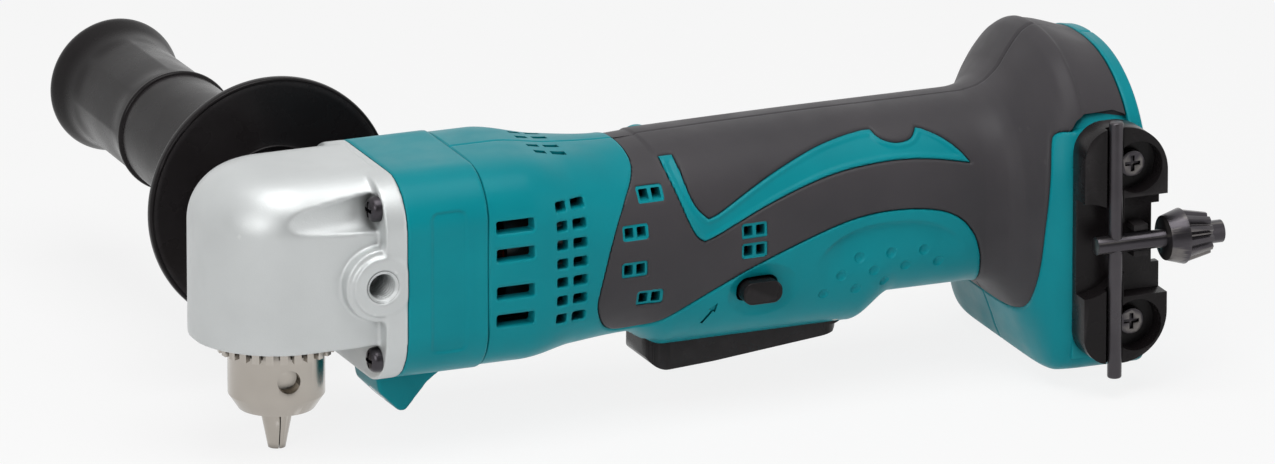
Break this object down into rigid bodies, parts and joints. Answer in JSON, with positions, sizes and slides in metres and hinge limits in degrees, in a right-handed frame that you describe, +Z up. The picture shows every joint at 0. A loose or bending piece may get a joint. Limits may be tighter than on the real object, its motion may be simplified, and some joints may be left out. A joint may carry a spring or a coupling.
{
  "type": "right angle drill",
  "caption": "Cordless right angle drill body with a geared head, keyed chuck, side handle, paddle switch and a chuck key clipped to its battery tail.",
  "frame": {"origin": "on the chuck axis at the tips of the closed jaws", "axes": "+X from the chuck axis to the battery tail, +Y towards the side handle, +Z up, so the chuck points along -Z"},
  "size_m": [0.2708, 0.2235, 0.09],
  "materials": {
    "cast_alloy": "satin cast",
    "teal_plastic": "fine grained",
    "soft_grip": "matt",
    "black_plastic": "satin",
    "steel": "turned",
    "dark_steel": "blackened",
    "copper": "bare",
    "clear_lens": "polished",
    "board": "matt",
    "magnet": "matt",
    "red_lead": "satin",
    "black_lead": "satin"
  },
  "bodies": {
    "drill_body": {"gear_housing": "cast_alloy", "housing_screws": "dark_steel", "bearing_retainer": "dark_steel", "spindle_lower_bearing": "steel", "spindle_upper_bush": "copper", "pinion_front_bearing": "steel", "pinion_rear_bearing": "steel", "motor_bracket": "teal_plastic", "lamp_lens": "clear_lens", "lamp_board": "board", "armature_front_bearing": "steel", "armature_rear_bearing": "steel", "motor_yoke": "dark_steel", "motor_magnets": "magnet", "brush_bracket": "black_plastic", "carbon_brushes": "dark_steel", "handle_shell_near": "teal_plastic", "handle_shell_far": "teal_plastic", "soft_skin_near": "soft_grip", "soft_skin_far": "soft_grip", "handle_screws": "dark_steel", "switch_body": "black_plastic", "paddle_pin": "steel", "terminal_block": "black_plastic", "terminal_blades": "copper", "power_leads": "red_lead", "motor_leads": "black_lead", "key_holder": "black_plastic", "key_holder_screws": "dark_steel"},
    "armature": {"armature_shaft": "steel", "armature_core": "copper", "commutator": "copper", "cooling_fan": "black_plastic"},
    "pinion_shaft": {"bevel_pinion_shaft": "dark_steel", "spur_gear": "dark_steel"},
    "spindle": {"spindle": "steel", "bevel_gear": "dark_steel", "chuck_body": "steel"},
    "chuck_sleeve": {"chuck_sleeve": "steel"},
    "jaw_1": {"chuck_jaw_1": "steel"},
    "jaw_2": {"chuck_jaw_2": "steel"},
    "jaw_3": {"chuck_jaw_3": "steel"},
    "paddle": {"paddle": "black_plastic"},
    "switch_plunger": {"switch_plunger": "steel"},
    "reversing_lever": {"reversing_lever": "black_plastic"},
    "side_handle": {"side_handle_grip": "black_plastic", "side_handle_stud": "steel"},
    "chuck_key": {"chuck_key": "dark_steel", "chuck_key_bar": "dark_steel"}
  },
  "joints": [
    {"name": "armature_spin", "type": "hinge", "parent": "drill_body", "child": "armature", "pos_m": [0.06, 0, 0.048], "axis": [1, 0, 0], "continuous": true},
    {"name": "pinion_spin", "type": "hinge", "parent": "drill_body", "child": "pinion_shaft", "pos_m": [0.03, 0, 0.0624], "axis": [1, 0, 0], "continuous": true},
    {"name": "spindle_spin", "type": "hinge", "parent": "drill_body", "child": "spindle", "pos_m": [0, 0, 0.05], "axis": [0, 0, 1], "continuous": true},
    {"name": "sleeve_turn", "type": "hinge", "parent": "spindle", "child": "chuck_sleeve", "pos_m": [0, 0, 0.032], "axis": [0, 0, 1], "range_deg": [0, 2880]},
    {"name": "jaw_1_slide", "type": "slide", "parent": "spindle", "child": "jaw_1", "axis": [0.223, -0.162, 0.9613], "range_m": [0, 0.0181]},
    {"name": "jaw_2_slide", "type": "slide", "parent": "spindle", "child": "jaw_2", "axis": [0.0288, 0.2741, 0.9613], "range_m": [0, 0.0181]},
    {"name": "jaw_3_slide", "type": "slide", "parent": "spindle", "child": "jaw_3", "axis": [-0.2518, -0.1121, 0.9613], "range_m": [0, 0.0181]},
    {"name": "paddle_press", "type": "hinge", "parent": "drill_body", "child": "paddle", "pos_m": [0.152, 0, 0.0215], "axis": [0, 1, 0], "range_deg": [0, 5], "stiffness_Nm_per_rad": 0.6, "springref_deg": -5.73},
    {"name": "plunger_slide", "type": "slide", "parent": "drill_body", "child": "switch_plunger", "axis": [0, 0, 1], "range_m": [0, 0.0037]},
    {"name": "lever_slide", "type": "slide", "parent": "drill_body", "child": "reversing_lever", "axis": [0, 1, 0], "range_m": [-0.0024, 0.0024]},
    {"name": "side_handle_slide", "type": "slide", "parent": "drill_body", "child": "side_handle", "axis": [0, 1, 0], "range_m": [0, 0.015]},
    {"name": "chuck_key_pull", "type": "slide", "parent": "drill_body", "child": "chuck_key", "axis": [0, -1, 0], "range_m": [0, 0.012]}
  ],
  "couplings": [
    {"joint": "pinion_spin", "follows": "armature_spin", "ratio": -0.33333},
    {"joint": "spindle_spin", "follows": "armature_spin", "ratio": -0.10417},
    {"joint": "jaw_1_slide", "follows": "sleeve_turn", "m_per_rad": 0.00036},
    {"joint": "jaw_2_slide", "follows": "sleeve_turn", "m_per_rad": 0.00036},
    {"joint": "jaw_3_slide", "follows": "sleeve_turn", "m_per_rad": 0.00036},
    {"joint": "plunger_slide", "follows": "paddle_press", "m_per_rad": 0.042}
  ]
}
